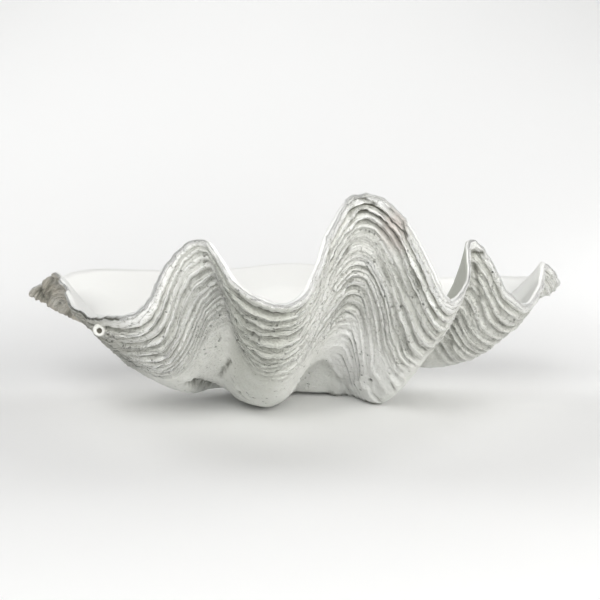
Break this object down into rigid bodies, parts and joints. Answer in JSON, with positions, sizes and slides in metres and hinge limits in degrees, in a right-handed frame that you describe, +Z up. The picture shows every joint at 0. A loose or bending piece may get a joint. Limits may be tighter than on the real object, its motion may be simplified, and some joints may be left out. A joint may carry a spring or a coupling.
{
  "type": "clam shell",
  "caption": "Single valve of a giant clam: a deep fluted bowl with wavy front teeth, growth ledges outside and a smooth inside, resting on its rib bottoms.",
  "frame": {"origin": "on the surface the shell stands on, under the middle of its bounding box", "axes": "+X along the hinge line, +Y from the fluted front edge to the hinge, +Z up"},
  "size_m": [0.5872, 0.3626, 0.2453],
  "materials": {
    "shell": "matte"
  },
  "bodies": {
    "root": {"shell": "shell"}
  },
  "joints": []
}
